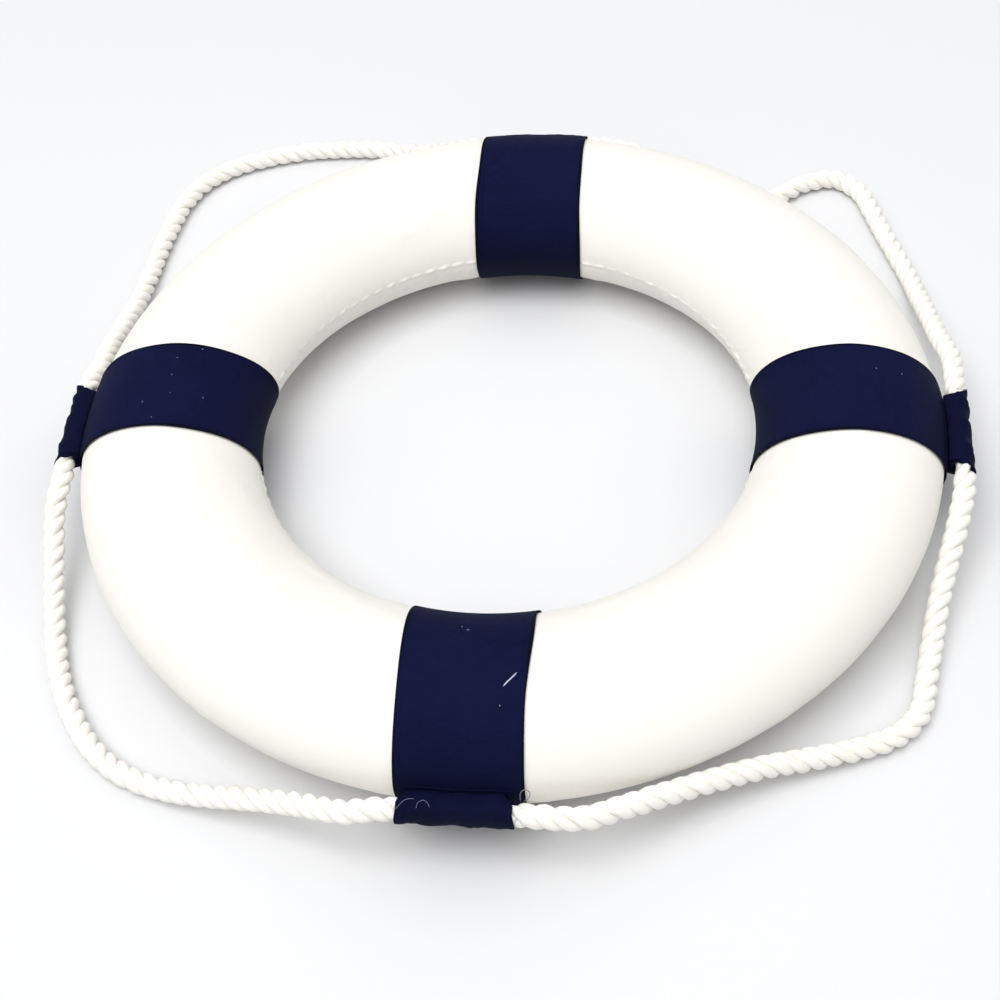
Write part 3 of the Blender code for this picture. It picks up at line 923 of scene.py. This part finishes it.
def make_hem_stitches(side, material):
    """The machine stitches that hold a band's two hems down."""
    lines = []
    count = round(GIRTH / HEM_STITCH_PITCH)
    for edge in (-1, 1):
        across = edge * (BAND_WIDTH / 2 - HEM_WIDTH + 0.0012)
        for stitch in range(count):
            t = np.linspace(-0.36, 0.36, 7)
            share = ((stitch + 0.5 + t) / count) % 1.0
            if at_share(share)[1].min() < 0.006:
                continue
            lift = band_lift(side, np.full(7, across), share, 1.0) + 0.00012 - 0.0066 * t ** 4
            turn = math.radians(SIDES[side]) + band_angle(side, across, share)
            lines.append(ring_point(turn, share, lift))
    points, faces = tube_along(lines, HEM_STITCH_RADIUS, sides=6)
    stitches = mesh_object(f"hem_stitches_{side}", points, faces, material)
    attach(stitches, "ring")


def narrowing(along):
    """How much lower a sleeve gets towards its mouths, which close on the rope."""
    half = SLEEVE_LENGTH / 2
    return MOUTH_NARROWING * smooth_step(half - 2 * MOUTH_REACH, half, np.abs(along))


def make_sleeve(side, material):
    """One rope sleeve: a cloth tube pressed to its band, with the strands showing through."""
    seed = 60 + int(SIDES[side])
    rows, columns = SLEEVE_GRID
    half = SLEEVE_LENGTH / 2
    along, level = strip_profile(half, rows, edge_steps=7, edge_width=0.0004)
    angle = np.arange(columns) / columns * 2 * math.pi
    along, angle = np.meshgrid(along, angle, indexing="ij")
    level = np.broadcast_to(level[:, None], along.shape)
    ring_x, ring_y = np.cos(angle), np.sin(angle)
    mouth = smooth_step(half - MOUTH_REACH, half, np.abs(along))
    # The cloth bridges the strands in long slanting swells, with tucks and finer creases between
    twist = np.cos(2 * angle - 3 * math.pi * along / ROPE_LAY + seed)
    strands = 0.00045 * twist * (1 - 0.6 * mouth)
    tucks = 0.00040 * wobble(seed, 7, along * 520, ring_x * 1.2, ring_y * 1.2)
    fine = 0.00013 * wobble(seed + 1, 8, along * 1300, ring_x * 2.0, ring_y * 2.0)
    lip = 0.0005 * mouth * np.sin(3 * angle + seed)
    swell = (strands + (tucks + fine) * (1 - 0.5 * mouth) + lip) * CREASING[side] - 0.0003
    swell = np.maximum(swell, -0.0008)
    depth = SLEEVE_HALF_DEPTH - 0.0010 * (1 - level) + swell + 0.0006 * mouth
    height = SLEEVE_HALF_HEIGHT - 0.0010 * (1 - level) + swell - narrowing(along)
    # Its inner side is sewn to the band, whose curve it follows
    sewn = smooth_step(0.0, 0.5, -ring_x)
    # Each mouth is cut back at the top, the bottom and the inner side
    cut = MOUTH_CUT[side] * (np.cos(2 * angle) - 2 * sewn) - 0.0008
    x = along + np.sign(along) * mouth * cut - RIGHT_END_CUT[side] * smooth_step(0, half, along)
    x = x + 0.0004 * wobble(seed + 2, 5, ring_x * 2, ring_y * 2) * mouth * np.sign(along)
    z = EQUATOR + height * ring_y * (1 - 0.2 * sewn)
    radius = at_share(outer_share(z))[0]
    on_band = radius + BAND_LIFT + BAND_THICKNESS + SLEEVE_GAP + 0.0008 * (1 - level)
    y = -SLEEVE_CENTRE - depth * ring_x
    sewn = sewn * (1 - 0.6 * mouth)
    y = y * (1 - sewn) - np.sqrt(on_band ** 2 - x ** 2) * sewn
    points = rotate_z(np.stack([x, y, z], axis=-1), SIDES[side])
    uv = np.stack([x, angle * SLEEVE_HALF_HEIGHT], axis=-1)
    sleeve = mesh_object(
        f"cloth_sleeve_{side}", points, grid_faces(points.shape[0], columns, True, True),
        material, uv, wraps=[(1, 2 * math.pi * SLEEVE_HALF_HEIGHT)],
    )
    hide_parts(f"sleeve_{side}")
    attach(sleeve, "ring")


def make_sleeve_seams(side, material):
    """The two raised seams, above and below, that join a sleeve to its band."""
    half = SLEEVE_LENGTH / 2 - 0.0012
    lines = []
    x = np.linspace(-half, half - RIGHT_END_CUT[side], 90)
    for way in (1, -1):
        height = EQUATOR + way * (SLEEVE_HALF_HEIGHT - narrowing(x)) * SLEEVE_SEAM_PLACE
        share = outer_share(height) + 0.0006 * wobble(30 + way, 6, x * 160)
        radius = at_share(share)[0]
        lift = BAND_LIFT + BAND_THICKNESS + SLEEVE_GAP + 0.0001 * wobble(7, 6, x * 700)
        turn = math.radians(SIDES[side]) + np.arcsin(x / radius)
        lines.append(ring_point(turn, share, lift + cover_shape(turn, share, sewing=False)))
    points, faces = tube_along(lines, SLEEVE_SEAM_RADIUS, sides=12, taper=0.6)
    uv = np.zeros((len(points), 2))
    seams = mesh_object(f"sleeve_seams_{side}", points, faces, material, uv)
    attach(seams, "ring")


# Lint on the bands: side, place across the band, share of the girth, direction, length
LINT = [
    ("left", 0.0147, 0.277, 0.4, 0.0012), ("left", 0.0277, 0.256, 2.0, 0.0008),
    ("left", -0.0217, 0.229, 1.1, 0.0008), ("left", -0.0072, 0.229, 0.2, 0.0008),
    ("left", 0.0076, 0.225, 2.6, 0.0006), ("left", 0.0081, 0.161, 0.9, 0.0010),
    ("left", -0.0304, 0.188, 1.5, 0.0010), ("front", -0.0042, 0.162, 0.3, 0.0006),
    ("front", -0.0006, 0.172, 0.1, 0.0014), ("front", 0.0205, 0.329, 1.8, 0.0010),
    ("right", 0.0148, 0.288, 0.0, 0.0008), ("right", 0.0147, 0.340, 0.7, 0.0007),
]
FIBRE = ("front", 0.0247, 0.285, -0.92, 0.0090)

# Thread ends about the sleeves, as points in metres
GREY_LOOP = [
    (0.0325, -0.2655, 0.0525), (0.0326, -0.2637, 0.0570), (0.0348, -0.2625, 0.0588),
    (0.0374, -0.2632, 0.0574), (0.0366, -0.2650, 0.0545), (0.0345, -0.2655, 0.0528),
]
GREY_END = [
    (0.2675, 0.0302, 0.0503), (0.2690, 0.0293, 0.0512),
    (0.2718, 0.0284, 0.0518), (0.2738, 0.0280, 0.0518),
]

# Pale thread ends on the front sleeve: metres along it, and degrees round it from its outer side
PALE_ARCS = [
    [(-0.0303, 52), (-0.0277, 78), (-0.0248, 98), (-0.0212, 102)],
    [(-0.0198, 60), (-0.0192, 82), (-0.0165, 96), (-0.0143, 84), (-0.0128, 66)],
]


def curved(points, samples=16):
    """A smooth line through a few points."""
    points = np.array(points, float)
    places = np.linspace(0, len(points) - 1, samples)
    low = np.minimum(places.astype(int), len(points) - 2)
    t = (places - low)[:, None]
    slope = np.gradient(points, axis=0)
    a, b, sa, sb = points[low], points[low + 1], slope[low], slope[low + 1]
    return a + sa * t + (3 * (b - a) - 2 * sa - sb) * t ** 2 + (2 * (a - b) + sa + sb) * t ** 3


def make_lint(pale, fibre, grey):
    """Specks of lint, one pale fibre on the front band, and loose thread ends at the sleeves."""
    groups = {"lint": [], "fibre": []}
    for side, across, share, direction, length in LINT + [FIBRE]:
        t = np.linspace(-0.5, 0.5, 7) * length
        over = across + t * math.cos(direction) + 0.05 * length * np.sin(t / length * 4)
        shares = share + t * math.sin(direction) / GIRTH
        lift = band_lift(side, over, shares, 1.0) + 0.0003
        line = ring_point(math.radians(SIDES[side]) + band_angle(side, over, shares), shares, lift)
        groups["fibre" if length > 0.005 else "lint"].append(line)
    arcs = []
    for arc in PALE_ARCS:
        x, degrees = curved(arc).T
        angle = np.radians(degrees)
        depth, height = SLEEVE_HALF_DEPTH + 0.0005, SLEEVE_HALF_HEIGHT + 0.0005
        y, z = -SLEEVE_CENTRE - depth * np.cos(angle), EQUATOR + height * np.sin(angle)
        arcs.append(np.stack([x, y, z], axis=1))
    pieces = [
        ("lint", groups["lint"], 0.00028, pale), ("pale_fibre", groups["fibre"], 0.00045, fibre),
        ("pale_thread_ends", arcs, 0.00012, pale),
        ("grey_thread_ends", [curved(GREY_LOOP, 30), curved(GREY_END)], 0.00022, grey),
    ]
    for name, lines, radius, material in pieces:
        points, faces = tube_along(lines, radius, sides=6)
        piece = mesh_object(name, points, faces, material)
        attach(piece, "ring")


# -------------------- stage


def make_stage(material):
    """A plain pale floor."""
    bpy.ops.mesh.primitive_plane_add(size=FLOOR_SIZE, location=(0, 0, 0))
    floor = bpy.context.object
    floor.name = "floor"
    floor.data.materials.append(material)


def area_light(name, place, target, size, power):
    """A square soft light at place, turned to target."""
    light = bpy.data.lights.new(name, "AREA")
    light.shape = "SQUARE"
    light.size = size
    light.energy = power
    made = add_object(name, light)
    made.location = place
    made.rotation_euler = (Vector(target) - Vector(place)).to_track_quat("-Z", "Y").to_euler()


def make_lights():
    """Soft studio light: a pale surround, brightest overhead, and a big light up front left."""
    world = bpy.data.worlds.new("surround")
    world.use_nodes = True
    tree = world.node_tree
    place = tree.nodes.new("ShaderNodeTexCoord")
    split = tree.nodes.new("ShaderNodeSeparateXYZ")
    level = tree.nodes.new("ShaderNodeMapRange")
    level.interpolation_type = "SMOOTHSTEP"
    level.inputs["From Min"].default_value = 0.0
    level.inputs["From Max"].default_value = SURROUND_TOP
    level.inputs["To Min"].default_value = SURROUND_LOW
    level.inputs["To Max"].default_value = SURROUND_HIGH
    tree.links.new(place.outputs["Generated"], split.inputs[0])
    tree.links.new(split.outputs["Z"], level.inputs["Value"])
    background = tree.nodes["Background"]
    background.inputs["Color"].default_value = (0.985, 0.99, 1.0, 1)
    tree.links.new(level.outputs["Result"], background.inputs["Strength"])
    bpy.context.scene.world = world
    area_light("key", KEY_PLACE, (0, 0, 0), KEY_SIZE, KEY_POWER)
    bpy.context.scene.view_settings.view_transform = "Standard"


def main():
    make_camera()
    make_rope(cotton())
    white, navy = white_cloth(), navy_cloth()
    white_thread = thread_material("white_thread", (0.86, 0.83, 0.76), (0.92, 0.90, 0.86))
    navy_thread = thread_material(
        "navy_thread", (0.004, 0.006, 0.034), (0.007, 0.010, 0.045),
        roughness=0.9, sheen=0.0, gloss=NAVY_GLOSS,
    )
    make_cover(white)
    make_closing_stitches(white_thread)
    for side in SIDES:
        make_band(side, navy)
        make_hem_stitches(side, navy_thread)
        make_sleeve(side, navy)
        make_sleeve_seams(side, navy)
    pale = thread_material("pale_lint", (0.16, 0.18, 0.30), (0.26, 0.28, 0.42))
    fibre = thread_material("pale_fibre", (0.45, 0.46, 0.62), (0.60, 0.61, 0.74))
    grey = thread_material("grey_thread", (0.16, 0.15, 0.15), (0.26, 0.25, 0.25))
    make_lint(pale, fibre, grey)
    foam = foam_material()
    tape = thread_material("cloth_tape", (0.62, 0.59, 0.52), (0.72, 0.70, 0.64))
    hidden = {"foam_core_upper": foam, "foam_core_lower": foam, "rope_end_tape": tape}
    for node, material in hidden.items():
        for material_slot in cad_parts[node].material_slots:
            material_slot.material = material
    make_stage(floor_material())
    make_lights()


main()
